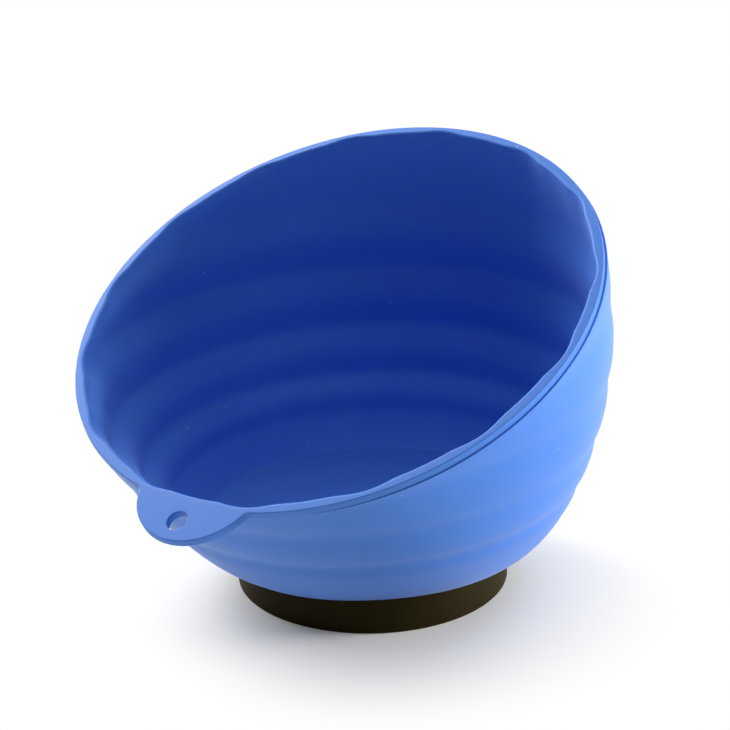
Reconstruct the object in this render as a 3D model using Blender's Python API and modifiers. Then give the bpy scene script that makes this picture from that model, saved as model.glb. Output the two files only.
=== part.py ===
"""Magnetic parts bowl: a leaning plastic bowl with moulded rings on a round magnetic foot.

The origin is the centre of the foot's underside, +Z is up and the hanging tab points along -Y.
Lengths are in metres. In the wall's formulas "forward" means towards the tab.
"""

from math import acos, atan2, cos, pi, radians, sin

import bmesh
import bpy
import numpy as np

NAME = "magnetic_parts_bowl"

# Clearance between neighbouring pieces
CLEARANCE = 0.0003

# Ring magnet
MAGNET_RADIUS = 0.0360
MAGNET_BORE_RADIUS = 0.0160
MAGNET_THICKNESS = 0.0080
MAGNET_CHAMFER = 0.0007

# Steel plate, washer and screw
PLATE_THICKNESS = 0.0020
WASHER_RADIUS = 0.0100
WASHER_THICKNESS = 0.0012
SCREW_RADIUS = 0.0019
SCREW_TIP_LENGTH = 0.0012
SCREW_TIP_RADIUS = 0.0009
HEAD_RADIUS = 0.0040
HEAD_HEIGHT = 0.0028
HEAD_ROUND = 0.0016
RECESS_WIDTH = 0.0009
RECESS_LENGTH = 0.0042
RECESS_DEPTH = 0.0013

# Rubber boot
BOOT_FLOOR = 0.0018
BOOT_WALL = 0.0026
BOOT_SHOULDER = 0.0017
BOOT_HEIGHT = 0.0110
BOOT_EDGE_ROUND = 0.0004
BOOT_LIP_REACH = 0.0028

# Foot of the bowl: its ring overhangs the boot, and the floor stands above that ring
FOOT_OVERHANG = 0.0014
FLOOR_RISE = 0.0077
FLOOR_THICKNESS = 0.0026
BOSS_RADIUS = 0.0065
BORE_SKIN = 0.0011

# Mouth, a circle that leans towards the tab
MOUTH_RADIUS = 0.0750
MOUTH_TILT = radians(29.74)
MOUTH_FORWARD = 0.01873
MOUTH_RISE = 0.07881

# Pulls of the front and back outlines: how far each one runs on from the foot and the mouth, and which
# way, as an angle from forward round to up
FRONT_FOOT_PULL = 0.00652
FRONT_FOOT_ANGLE = radians(41.3)
BACK_FOOT_PULL = 0.02801
BACK_FOOT_ANGLE = radians(178.6)
FRONT_MOUTH_PULL = 0.05825
BACK_MOUTH_PULL = 0.05243
MOUTH_PULL_ANGLE = radians(234.4)

# Wall and lip. The ledge under the lip grows from nothing at the tab to its full width at an azimuth.
WALL = 0.00285
LIP_HEIGHT = 0.0020
LEDGE = 0.0007
LEDGE_FADE = 0.0120
LEDGE_AZIMUTH = radians(60)

# Moulded rings: the first crest above the floor, the step to the next and what each step grows by. They
# stand out more inside than they are drawn in outside, and their planes fan out from a level line in front
# of the bowl.
RING_COUNT = 4
RING_FIRST = 0.0160
RING_STEP = 0.0135
RING_STEP_GROWTH = 0.0035
RING_DEPTH = 0.0013
OUTER_RING_DEPTH = 0.0005
RING_SHARPNESS = 0.7
RING_FAN_RADIUS = 0.737
RING_MOUTH_FADE = 0.0080

# Scallops inside the mouth, with the tab halfway between two of them
SCALLOP_COUNT = 15
SCALLOP_WIDTH = 0.0162
SCALLOP_DEPTH = 0.00097
SCALLOP_SHARPNESS = 1.2
SCALLOP_REACH = 0.0300

# Hanging tab, a disc that overhangs the lip
TAB_RADIUS = 0.0170
TAB_OVERHANG = 0.0108
TAB_THICKNESS = 0.0021
TAB_DROP = 0.0001
TAB_ROOT_RADIUS = 0.0015
TAB_EDGE_ROUND = 0.0004
HOLE_RADIUS = 0.0028
HOLE_INSET = 0.0059

# Facets
FOOT_STEPS = 48
FASTENER_STEPS = 24
ROWS_UNDER_FLOOR = 4
ROWS_OVER_FLOOR = 3
ROWS_PER_RING = 4
ROWS_TO_MOUTH = 13
TAB_END_STEPS = 24
TAB_INNER_STEPS = 8
TAB_ROOT_STEPS = 4
TAB_EDGE_STEPS = 2
BOOT_EDGE_STEPS = 3
HEAD_STEPS = 4
SOLVER_STEPS = 45
SLOPE_STEP = 0.00001
MERGE_DISTANCE = 0.00001
SHARP_ANGLE = radians(35)
TAB_CORNER_ANGLE = radians(60)
OVERLAP = 0.0010

# Heights and radii that follow from the sizes above
MAGNET_SEAT = BOOT_FLOOR + CLEARANCE
PLATE_SEAT = MAGNET_SEAT + MAGNET_THICKNESS + CLEARANCE
WASHER_SEAT = PLATE_SEAT - CLEARANCE - WASHER_THICKNESS
HEAD_TOP = WASHER_SEAT - CLEARANCE
BOSS_END = PLATE_SEAT + PLATE_THICKNESS + CLEARANCE
BOOT_INNER_RADIUS = MAGNET_RADIUS + CLEARANCE
SPIGOT_RADIUS = BOOT_INNER_RADIUS + BOOT_WALL
BOOT_RADIUS = SPIGOT_RADIUS + BOOT_SHOULDER
BOWL_BOTTOM = BOOT_HEIGHT + CLEARANCE
FLOOR_TOP = BOWL_BOTTOM + FLOOR_RISE
SOCKET_CEILING = FLOOR_TOP - FLOOR_THICKNESS
SOCKET_RADIUS = SPIGOT_RADIUS + CLEARANCE
SPIGOT_TOP = SOCKET_CEILING - CLEARANCE
BOWL_FOOT_RADIUS = BOOT_RADIUS + FOOT_OVERHANG
SCREW_HOLE_RADIUS = SCREW_RADIUS + CLEARANCE
BORE_TOP = FLOOR_TOP - BORE_SKIN
SCREW_TIP = BORE_TOP - CLEARANCE
MOUTH_HEIGHT = BOWL_BOTTOM + MOUTH_RISE
TAB_CENTRE = MOUTH_RADIUS + TAB_OVERHANG - TAB_RADIUS
HOLE_CENTRE = MOUTH_RADIUS + TAB_OVERHANG - HOLE_INSET
TAB_BITE = 3 * TAB_EDGE_ROUND


# Shape of the wall

def bezier(points, u):
    """Point at u on a cubic curve in the mirror plane, as (forward, up)."""
    u = np.asarray(u)[..., None]
    start, first, last, end = (np.array(point) for point in points)
    return start * (1 - u) ** 3 + 3 * first * u * (1 - u) ** 2 + 3 * last * u ** 2 * (1 - u) + end * u ** 3


def pulled(point, length, angle):
    return (point[0] + length * cos(angle), point[1] + length * sin(angle))


def outline(side, foot_pull, foot_angle, mouth_pull):
    """Control points of the front (side 1) or back (side -1) outline, from the foot to the mouth."""
    foot = (side * BOWL_FOOT_RADIUS, BOWL_BOTTOM)
    mouth = (MOUTH_FORWARD + side * MOUTH_RADIUS * cos(MOUTH_TILT),
             MOUTH_HEIGHT - side * MOUTH_RADIUS * sin(MOUTH_TILT))
    first = pulled(foot, foot_pull, foot_angle)
    last = pulled(mouth, mouth_pull, MOUTH_PULL_ANGLE)
    return foot, first, last, mouth


FRONT_OUTLINE = outline(1, FRONT_FOOT_PULL, FRONT_FOOT_ANGLE, FRONT_MOUTH_PULL)
BACK_OUTLINE = outline(-1, BACK_FOOT_PULL, BACK_FOOT_ANGLE, BACK_MOUTH_PULL)


def skin(u, azimuth):
    """Outer skin without its rings: circles whose diameters join the front and back outlines."""
    front = bezier(FRONT_OUTLINE, u)
    back = bezier(BACK_OUTLINE, u)
    centre = (front + back) / 2
    half = (front - back) / 2
    radius = np.hypot(half[..., 0], half[..., 1])
    forward = centre[..., 0] + half[..., 0] * np.cos(azimuth)
    up = centre[..., 1] + half[..., 1] * np.cos(azimuth)
    return np.stack([radius * np.sin(azimuth), -forward, up], axis=-1)


def skin_normal(u, azimuth):
    across = skin(u, azimuth + SLOPE_STEP) - skin(u, azimuth - SLOPE_STEP)
    along = skin(u + SLOPE_STEP, azimuth) - skin(u - SLOPE_STEP, azimuth)
    normal = np.cross(across, along)
    return normal / np.linalg.norm(normal, axis=-1, keepdims=True)


def mouth_depth(points):
    """Distance under the plane of the mouth."""
    forward = -points[..., 1] - MOUTH_FORWARD
    up = points[..., 2] - MOUTH_HEIGHT
    return -forward * sin(MOUTH_TILT) - up * cos(MOUTH_TILT)


def ring_level(u, azimuth):
    """Height of the inner skin above the floor, measured between the fanned ring planes."""
    inner = skin(u, azimuth) - WALL * skin_normal(u, azimuth)
    return (inner[..., 2] - FLOOR_TOP) * RING_FAN_RADIUS / (RING_FAN_RADIUS + inner[..., 1])


def ring_phase(u, azimuth):
    """Whole numbers at the crests, from 0 at the lowest one."""
    above = ring_level(u, azimuth) - RING_FIRST
    half_growth = RING_STEP_GROWTH / 2
    linear = RING_STEP - half_growth
    root = np.sqrt(np.maximum(linear ** 2 + 4 * half_growth * above, 0))
    return (root - linear) / (2 * half_growth)


def ring_wave(u, azimuth):
    """1 on the rings' crests and 0 in the valleys between them. It dies away under the lip."""
    phase = ring_phase(u, azimuth)
    wave = (0.5 + 0.5 * np.cos(2 * pi * phase)) ** RING_SHARPNESS
    inside = (phase > -0.5) & (phase < RING_COUNT - 0.5)
    fade = np.clip((mouth_depth(skin(u, azimuth)) - LIP_HEIGHT) / RING_MOUTH_FADE, 0, 1)
    return np.where(inside, wave * fade * (2 - fade), 0)


def ledge_width(azimuth):
    turn = np.abs((azimuth + pi) % (2 * pi) - pi)
    return LEDGE * (0.5 - 0.5 * np.cos(pi * np.minimum(turn / LEDGE_AZIMUTH, 1)))


def outer_wall(u, azimuth):
    """Outer skin with its rings, swelling to the ledge under the lip."""
    points = skin(u, azimuth)
    fade = np.clip(1 - (mouth_depth(points) - LIP_HEIGHT) / LEDGE_FADE, 0, 1)
    push = ledge_width(azimuth) * fade ** 2 - OUTER_RING_DEPTH * ring_wave(u, azimuth)
    return points + skin_normal(u, azimuth) * push[..., None]


def scallop(azimuth):
    """1 at the middle of a scallop and 0 between them."""
    pitch = 2 * pi / SCALLOP_COUNT
    offset = (np.asarray(azimuth) % pitch) - pitch / 2
    half_width = SCALLOP_WIDTH / 2 / MOUTH_RADIUS
    share = np.clip(np.abs(offset) / half_width, 0, 1)
    return np.maximum(np.cos(pi / 2 * share), 0) ** SCALLOP_SHARPNESS


def inner_wall(u, azimuth):
    """Inner skin: the outer one moved in by the wall, less the scallops that run down from the mouth."""
    points = skin(u, azimuth)
    fade = np.clip(1 - mouth_depth(points) / SCALLOP_REACH, 0, 1) ** 2
    inset = WALL + RING_DEPTH * ring_wave(u, azimuth) - SCALLOP_DEPTH * scallop(azimuth) * fade
    return points - skin_normal(u, azimuth) * inset[..., None]


def solve(measure, target, azimuth):
    """The u on each column where a measure that grows with u reaches its target."""
    low = np.zeros_like(azimuth)
    high = np.ones_like(azimuth)
    for _ in range(SOLVER_STEPS):
        middle = (low + high) / 2
        below = measure(middle, azimuth) < target
        low = np.where(below, middle, low)
        high = np.where(below, high, middle)
    return (low + high) / 2


# Rows of the bowl

def columns():
    """Azimuths from the tab: five across each scallop and one between each pair."""
    pitch = 2 * pi / SCALLOP_COUNT
    half_width = SCALLOP_WIDTH / 2 / MOUTH_RADIUS
    offsets = [-half_width, -half_width / 2, 0, half_width / 2, half_width, pitch / 2]
    return np.array([pitch * (index + 0.5) + offset for index in range(SCALLOP_COUNT) for offset in offsets])


def level_circle(radius, height, azimuth):
    return np.stack([radius * np.sin(azimuth), -radius * np.cos(azimuth), np.full_like(azimuth, height)], axis=-1)


def mouth_circle(radius, depth, azimuth):
    """Circle about the mouth's axis, at a depth under its plane."""
    forward = radius * np.cos(azimuth)
    x = radius * np.sin(azimuth)
    y = -MOUTH_FORWARD - forward * cos(MOUTH_TILT) + depth * sin(MOUTH_TILT)
    z = MOUTH_HEIGHT - forward * sin(MOUTH_TILT) - depth * cos(MOUTH_TILT)
    return np.stack([x, y, z], axis=-1)


def rows_to(top, split, azimuth):
    """Rows from the split up to a top row, evenly spaced in ring phase."""
    end = ring_phase(top, azimuth)
    targets = [split + (end - split) * row / ROWS_TO_MOUTH for row in range(1, ROWS_TO_MOUTH)]
    return [solve(ring_phase, target, azimuth) for target in targets]


def bowl_rings():
    """Rings of points from the socket's ceiling round the lip to the edge of the floor."""
    azimuth = columns()
    mouth = np.ones_like(azimuth)
    floor = solve(ring_level, 0, azimuth)
    ledge = solve(lambda u, a: -mouth_depth(skin(u, a)), -LIP_HEIGHT, azimuth)

    # Rows that follow the rings all round stop half a row short of the ledge's lowest point.
    lowest = ring_phase(ledge, azimuth).min()
    steps = int((lowest + 0.5) * ROWS_PER_RING - 0.5)
    phases = [-0.5 + step / ROWS_PER_RING for step in range(steps + 1)]
    whole_rings = [solve(ring_phase, phase, azimuth) for phase in phases]

    under_floor = [floor * row / ROWS_UNDER_FLOOR for row in range(ROWS_UNDER_FLOOR)]
    first = whole_rings[0]
    over_floor = [floor + (first - floor) * row / ROWS_OVER_FLOOR for row in range(ROWS_OVER_FLOOR)]
    outer_rows = under_floor + over_floor + whole_rings + rows_to(ledge, phases[-1], azimuth) + [ledge]
    inner_rows = over_floor + whole_rings + rows_to(mouth, phases[-1], azimuth)
    land_inner_radius = MOUTH_RADIUS - WALL + SCALLOP_DEPTH * scallop(azimuth)

    rings = [level_circle(SOCKET_RADIUS, SOCKET_CEILING, azimuth), level_circle(SOCKET_RADIUS, BOWL_BOTTOM, azimuth)]
    rings += [outer_wall(row, azimuth) for row in outer_rows]
    rings += [mouth_circle(MOUTH_RADIUS, LIP_HEIGHT, azimuth), mouth_circle(MOUTH_RADIUS, 0, azimuth)]
    rings += [mouth_circle(land_inner_radius, 0, azimuth)]
    rings += [inner_wall(row, azimuth) for row in reversed(inner_rows)]
    return rings


# Making objects

def new_collection(name):
    collection = bpy.data.collections.new(name)
    bpy.context.scene.collection.children.link(collection)
    return collection


def new_object(name, mesh, collection, parent, location=(0, 0, 0)):
    thing = bpy.data.objects.new(name, mesh)
    thing.location = location
    thing.parent = parent
    collection.objects.link(thing)
    return thing


def as_tool(thing):
    """Mark an object as a shape that only cuts or joins another."""
    thing.hide_render = True
    thing.display_type = 'WIRE'
    return thing


def material(name, color, roughness, metallic=0.0):
    made = bpy.data.materials.new(name)
    made.use_nodes = True
    shader = made.node_tree.nodes["Principled BSDF"]
    shader.inputs["Base Color"].default_value = (*color, 1)
    shader.inputs["Roughness"].default_value = roughness
    shader.inputs["Metallic"].default_value = metallic
    return made


def bake(thing):
    """Replace an object's modifiers by their result, shaded smooth with sharp corners."""
    graph = bpy.context.evaluated_depsgraph_get()
    mesh = bpy.data.meshes.new_from_object(thing.evaluated_get(graph))
    mesh.name = thing.name
    thing.modifiers.clear()
    thing.data = mesh
    mesh.shade_smooth()
    mesh.set_sharp_from_angle(angle=SHARP_ANGLE)


def turned(name, profile, steps, look, collection, parent, height):
    """Turn a profile, given as (radius, height) down its outer side, about Z."""
    mesh = bpy.data.meshes.new(name)
    count = len(profile)
    closed = profile[0][0] > 0
    edges = [(index, (index + 1) % count) for index in range(count if closed else count - 1)]
    mesh.from_pydata([(radius, 0, level) for radius, level in profile], edges, [])
    mesh.materials.append(look)
    thing = new_object(name, mesh, collection, parent, (0, 0, height))
    screw = thing.modifiers.new("turn", 'SCREW')
    screw.steps = steps
    screw.render_steps = steps
    screw.use_merge_vertices = True
    screw.merge_threshold = MERGE_DISTANCE
    return thing


def boolean(thing, tool, operation):
    modifier = thing.modifiers.new(tool.name, 'BOOLEAN')
    modifier.operation = operation
    modifier.solver = 'EXACT'
    modifier.object = tool


def cylinder(name, radius, bottom, top, collection, parent, centre=(0, 0)):
    mesh = bpy.data.meshes.new(name)
    shape = bmesh.new()
    bmesh.ops.create_cone(shape, cap_ends=True, segments=FASTENER_STEPS, radius1=radius, radius2=radius,
                          depth=top - bottom)
    shape.to_mesh(mesh)
    shape.free()
    place = (centre[0], centre[1], (bottom + top) / 2)
    return as_tool(new_object(name, mesh, collection, parent, place))


def box(name, size, height, collection, parent):
    mesh = bpy.data.meshes.new(name)
    shape = bmesh.new()
    bmesh.ops.create_cube(shape, size=1)
    bmesh.ops.scale(shape, vec=size, verts=shape.verts)
    shape.to_mesh(mesh)
    shape.free()
    return as_tool(new_object(name, mesh, collection, parent, (0, 0, height)))


# Bowl

def bowl_shell(look, collection, parent):
    """Loft the rings into one closed shell, capped by the socket's ceiling and the floor."""
    shape = bmesh.new()
    rings = [[shape.verts.new(point) for point in ring] for ring in bowl_rings()]
    count = len(rings[0])
    for lower, upper in zip(rings, rings[1:]):
        for index in range(count):
            following = (index + 1) % count
            shape.faces.new([lower[index], lower[following], upper[following], upper[index]])
    shape.faces.new(rings[0])
    shape.faces.new(rings[-1])
    bmesh.ops.recalc_face_normals(shape, faces=shape.faces)
    mesh = bpy.data.meshes.new("bowl")
    shape.to_mesh(mesh)
    shape.free()
    mesh.materials.append(look)
    return new_object("bowl", mesh, collection, parent)


def arc(centre, radius, start, end, count):
    """Points on an arc, both ends included."""
    angles = [start + (end - start) * index / count for index in range(count + 1)]
    return [(centre[0] + radius * cos(angle), centre[1] + radius * sin(angle)) for angle in angles]


def tab_outline():
    """Outline of the tab in the mouth's plane: a disc with a small fillet where it leaves the lip."""
    fillet_distance = MOUTH_RADIUS + TAB_ROOT_RADIUS
    reach = TAB_RADIUS + TAB_ROOT_RADIUS
    spread = acos((fillet_distance ** 2 + TAB_CENTRE ** 2 - reach ** 2) / (2 * fillet_distance * TAB_CENTRE))
    disc = (0, -TAB_CENTRE)
    fillet = (fillet_distance * sin(spread), -fillet_distance * cos(spread))
    to_fillet = atan2(fillet[1] - disc[1], fillet[0] - disc[0])
    lip_angle = spread - pi / 2

    inner = arc((0, 0), MOUTH_RADIUS - TAB_BITE, -spread - pi / 2, lip_angle, TAB_INNER_STEPS)
    right = arc(fillet, TAB_ROOT_RADIUS, lip_angle + pi, to_fillet + pi, TAB_ROOT_STEPS)
    end = arc(disc, TAB_RADIUS, to_fillet, -pi - to_fillet, TAB_END_STEPS)
    left = [(-x, y) for x, y in reversed(right)]
    return inner + right + end[1:-1] + left


def tab_plate(collection, mouth_frame):
    """Extrude the tab's outline and soften its edges."""
    curve = bpy.data.curves.new("tab_outline", 'CURVE')
    curve.dimensions = '2D'
    curve.fill_mode = 'BOTH'
    curve.extrude = TAB_THICKNESS / 2
    points = tab_outline()
    spline = curve.splines.new('POLY')
    spline.points.add(len(points) - 1)
    for point, (x, y) in zip(spline.points, points):
        point.co = (x, y, 0, 1)
    spline.use_cyclic_u = True
    drawn = new_object("tab_outline", curve, collection, mouth_frame)

    graph = bpy.context.evaluated_depsgraph_get()
    mesh = bpy.data.meshes.new_from_object(drawn.evaluated_get(graph))
    bpy.data.objects.remove(drawn)
    shape = bmesh.new()
    shape.from_mesh(mesh)
    bmesh.ops.remove_doubles(shape, verts=shape.verts, dist=MERGE_DISTANCE)
    bmesh.ops.recalc_face_normals(shape, faces=shape.faces)
    shape.to_mesh(mesh)
    shape.free()
    plate = as_tool(new_object("tab_plate", mesh, collection, mouth_frame, (0, 0, -TAB_DROP - TAB_THICKNESS / 2)))
    bevel = plate.modifiers.new("edges", 'BEVEL')
    bevel.width = TAB_EDGE_ROUND
    bevel.segments = TAB_EDGE_STEPS
    bevel.limit_method = 'ANGLE'
    bevel.angle_limit = TAB_CORNER_ANGLE
    return plate


def make_bowl(look, collection, tools, parent):
    bowl = bowl_shell(look, collection, parent)
    mouth_frame = new_object("mouth_frame", None, tools, parent, (0, -MOUTH_FORWARD, MOUTH_HEIGHT))
    mouth_frame.rotation_euler = (MOUTH_TILT, 0, 0)
    boss = cylinder("screw_boss", BOSS_RADIUS, BOSS_END, SOCKET_CEILING + OVERLAP, tools, parent)
    bore = cylinder("screw_bore", SCREW_HOLE_RADIUS, BOSS_END - OVERLAP, BORE_TOP, tools, parent)
    plate = tab_plate(tools, mouth_frame)
    hole = cylinder("hanging_hole", HOLE_RADIUS, -TAB_THICKNESS - TAB_DROP - OVERLAP, OVERLAP, tools, mouth_frame,
                    (0, -HOLE_CENTRE))
    boolean(bowl, boss, 'UNION')
    boolean(bowl, bore, 'DIFFERENCE')
    boolean(bowl, plate, 'UNION')
    boolean(bowl, hole, 'DIFFERENCE')
    bake(bowl)


# Foot

def make_boot(look, collection, parent):
    """Closed rubber cup. Its spigot fills the bowl's socket and turns in over the steel plate."""
    lip_radius = BOOT_INNER_RADIUS - BOOT_LIP_REACH
    edge = arc((BOOT_RADIUS - BOOT_EDGE_ROUND, BOOT_EDGE_ROUND), BOOT_EDGE_ROUND, 0, -pi / 2, BOOT_EDGE_STEPS)
    profile = [(0, BOOT_FLOOR), (BOOT_INNER_RADIUS, BOOT_FLOOR), (BOOT_INNER_RADIUS, BOSS_END),
               (lip_radius, BOSS_END), (lip_radius, SPIGOT_TOP), (SPIGOT_RADIUS, SPIGOT_TOP),
               (SPIGOT_RADIUS, BOOT_HEIGHT), (BOOT_RADIUS, BOOT_HEIGHT)] + edge + [(0, 0)]
    bake(turned("base_boot", profile, FOOT_STEPS, look, collection, parent, 0))


def make_magnet(look, collection, parent):
    outer = MAGNET_RADIUS - MAGNET_CHAMFER
    inner = MAGNET_BORE_RADIUS + MAGNET_CHAMFER
    top = MAGNET_THICKNESS - MAGNET_CHAMFER
    profile = [(inner, MAGNET_THICKNESS), (outer, MAGNET_THICKNESS), (MAGNET_RADIUS, top),
               (MAGNET_RADIUS, MAGNET_CHAMFER), (outer, 0), (inner, 0), (MAGNET_BORE_RADIUS, MAGNET_CHAMFER),
               (MAGNET_BORE_RADIUS, top)]
    bake(turned("ring_magnet", profile, FOOT_STEPS, look, collection, parent, MAGNET_SEAT))


def make_disc(name, radius, thickness, steps, look, collection, parent, height):
    """Flat steel disc with a hole for the screw."""
    profile = [(SCREW_HOLE_RADIUS, thickness), (radius, thickness), (radius, 0), (SCREW_HOLE_RADIUS, 0)]
    bake(turned(name, profile, steps, look, collection, parent, height))


def make_screw(look, collection, tools, parent):
    """Self-tapping pan-head screw with a cross recess, its head down."""
    shank = SCREW_TIP - HEAD_TOP
    dome = arc((HEAD_RADIUS - HEAD_ROUND, HEAD_ROUND - HEAD_HEIGHT), HEAD_ROUND, 0, -pi / 2, HEAD_STEPS)
    profile = [(0, shank), (SCREW_TIP_RADIUS, shank), (SCREW_RADIUS, shank - SCREW_TIP_LENGTH), (SCREW_RADIUS, 0),
               (HEAD_RADIUS, 0)] + dome + [(0, -HEAD_HEIGHT)]
    screw = turned("centre_screw", profile, FASTENER_STEPS, look, collection, parent, HEAD_TOP)
    recess_height = HEAD_TOP - HEAD_HEIGHT
    sizes = {"recess_x": (RECESS_LENGTH, RECESS_WIDTH), "recess_y": (RECESS_WIDTH, RECESS_LENGTH)}
    for name, (width, length) in sizes.items():
        cutter = box(name, (width, length, 2 * RECESS_DEPTH), recess_height, tools, parent)
        boolean(screw, cutter, 'DIFFERENCE')
    bake(screw)


def main():
    for thing in list(bpy.data.objects):
        bpy.data.objects.remove(thing)
    parts = new_collection(NAME)
    tools = new_collection("cutters")
    frame = new_object("foot_centre", None, parts, None)

    plastic = material("blue_plastic", (0.075, 0.212, 0.665), 0.34)
    rubber = material("black_rubber", (0.012, 0.010, 0.005), 0.55)
    ferrite = material("ferrite", (0.035, 0.036, 0.038), 0.7)
    steel = material("steel", (0.48, 0.48, 0.47), 0.35, 1.0)

    make_bowl(plastic, parts, tools, frame)
    make_boot(rubber, parts, frame)
    make_magnet(ferrite, parts, frame)
    make_disc("pole_plate", MAGNET_RADIUS, PLATE_THICKNESS, FOOT_STEPS, steel, parts, frame, PLATE_SEAT)
    make_disc("clamp_washer", WASHER_RADIUS, WASHER_THICKNESS, FASTENER_STEPS, steel, parts, frame, WASHER_SEAT)
    make_screw(steel, parts, tools, frame)


main()
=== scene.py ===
"""Looks of the magnetic parts bowl: fine moulding, boot, materials, floor, lights and camera.

Run as a script. Lengths are in metres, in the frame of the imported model: the origin is the centre
of the foot's underside, +Z is up and the hanging tab points along -Y, which is called forward.
"""

from math import acos, atan2, cos, pi, radians, sin

import bpy
import numpy as np
from bpy.props import FloatProperty, FloatVectorProperty, PointerProperty
from mathutils import Matrix, Vector


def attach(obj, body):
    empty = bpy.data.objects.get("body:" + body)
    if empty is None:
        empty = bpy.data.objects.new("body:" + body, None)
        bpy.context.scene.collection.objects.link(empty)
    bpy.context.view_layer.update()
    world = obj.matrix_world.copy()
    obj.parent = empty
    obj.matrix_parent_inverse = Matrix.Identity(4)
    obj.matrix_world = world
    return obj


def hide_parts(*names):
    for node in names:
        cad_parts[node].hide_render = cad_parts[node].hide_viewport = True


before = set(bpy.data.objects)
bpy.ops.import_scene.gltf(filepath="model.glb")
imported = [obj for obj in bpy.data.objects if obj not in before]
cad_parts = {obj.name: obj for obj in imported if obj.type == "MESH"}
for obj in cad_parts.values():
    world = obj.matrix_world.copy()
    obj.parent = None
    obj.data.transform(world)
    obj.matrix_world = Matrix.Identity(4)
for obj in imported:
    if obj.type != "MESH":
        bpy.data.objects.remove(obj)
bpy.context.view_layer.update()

bl_info = {
    "name": "Magnetic Parts Bowl",
    "version": (1, 0, 0),
    "blender": (4, 5, 0),
    "location": "View3D > Sidebar > Parts Bowl",
    "description": "Gives a magnetic parts bowl its fine moulding, materials, floor and lights",
    "category": "Add Mesh",
}

# Sizes shared with the solids

CLEARANCE = 0.0003
MAGNET_RADIUS = 0.0360
MAGNET_THICKNESS = 0.0080
PLATE_THICKNESS = 0.0020
SCREW_RADIUS = 0.0019
BOOT_FLOOR = 0.0018
BOOT_WALL = 0.0026
BOOT_SHOULDER = 0.0017
BOOT_HEIGHT = 0.0110
BOOT_LIP_REACH = 0.0028
FOOT_OVERHANG = 0.0014
FLOOR_RISE = 0.0077
FLOOR_THICKNESS = 0.0026
BOSS_RADIUS = 0.0065
BORE_SKIN = 0.0011
MOUTH_RADIUS = 0.0750
MOUTH_TILT = radians(29.74)
MOUTH_FORWARD = 0.01873
MOUTH_RISE = 0.07881
FRONT_FOOT_PULL = 0.00652
FRONT_FOOT_ANGLE = radians(41.3)
BACK_FOOT_PULL = 0.02801
BACK_FOOT_ANGLE = radians(178.6)
FRONT_MOUTH_PULL = 0.05825
BACK_MOUTH_PULL = 0.05243
MOUTH_PULL_ANGLE = radians(234.4)
WALL = 0.00285
LIP_HEIGHT = 0.0020
LEDGE = 0.0007
LEDGE_FADE = 0.0120
LEDGE_AZIMUTH = radians(60)
RING_COUNT = 4
RING_FIRST = 0.0160
RING_STEP = 0.0135
RING_STEP_GROWTH = 0.0035
RING_FAN_RADIUS = 0.737
RING_MOUTH_FADE = 0.0080
SCALLOP_COUNT = 15
SCALLOP_WIDTH = 0.0162
SCALLOP_SHARPNESS = 1.2
SCALLOP_REACH = 0.0300
TAB_RADIUS = 0.0170
TAB_OVERHANG = 0.0108
TAB_THICKNESS = 0.0022
TAB_ROOT_RADIUS = 0.0015
HOLE_RADIUS = 0.0028
HOLE_INSET = 0.0059

PLATE_SEAT = BOOT_FLOOR + MAGNET_THICKNESS + 2 * CLEARANCE
BOSS_END = PLATE_SEAT + PLATE_THICKNESS + CLEARANCE
BOOT_INNER_RADIUS = MAGNET_RADIUS + CLEARANCE
SPIGOT_RADIUS = BOOT_INNER_RADIUS + BOOT_WALL
BOOT_RADIUS = SPIGOT_RADIUS + BOOT_SHOULDER
BOWL_BOTTOM = BOOT_HEIGHT + CLEARANCE
FLOOR_TOP = BOWL_BOTTOM + FLOOR_RISE
SOCKET_CEILING = FLOOR_TOP - FLOOR_THICKNESS
SOCKET_RADIUS = SPIGOT_RADIUS + CLEARANCE
SPIGOT_TOP = SOCKET_CEILING - CLEARANCE
BOWL_FOOT_RADIUS = BOOT_RADIUS + FOOT_OVERHANG
SCREW_HOLE_RADIUS = SCREW_RADIUS + CLEARANCE
BORE_TOP = FLOOR_TOP - BORE_SKIN
MOUTH_HEIGHT = BOWL_BOTTOM + MOUTH_RISE
TAB_CENTRE = MOUTH_RADIUS + TAB_OVERHANG - TAB_RADIUS
HOLE_CENTRE = MOUTH_RADIUS + TAB_OVERHANG - HOLE_INSET
SCALLOP_PITCH = 2 * pi / SCALLOP_COUNT
SCALLOP_HALF_ANGLE = SCALLOP_WIDTH / 2 / MOUTH_RADIUS

# Sizes of the finer shapes that only this file has

SKIN_INSET = 0.00002  # keeps the smooth skin inside the faceted solid
FOOT_ROUND = 0.0005
FOOT_ROUND_END = 0.012  # the u on the wall where the foot's rounding ends
LEDGE_OUTER_ROUND = 0.0006
LEDGE_INNER_ROUND = 0.0003
LIP_LOW_ROUND = 0.00018
TAB_LOW_ROUND = 0.0004
TAB_SIZES_FADE = 0.0008  # how far past the lip's circle its sizes turn into the tab's
WIDE_UNDERSIDE = 0.0012  # an underside wider than this keeps its rounding square to the lip
INNER_WALL_TOP = 0.0020  # how deep under the mouth the inner wall's rows begin
FLOOR_ROUND = 0.0014
HOLE_ROUND = 0.0002
BOOT_SHOULDER_ROUND = 0.0004
SHARP_ANGLE = radians(38)

# Density of the grids

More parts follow.
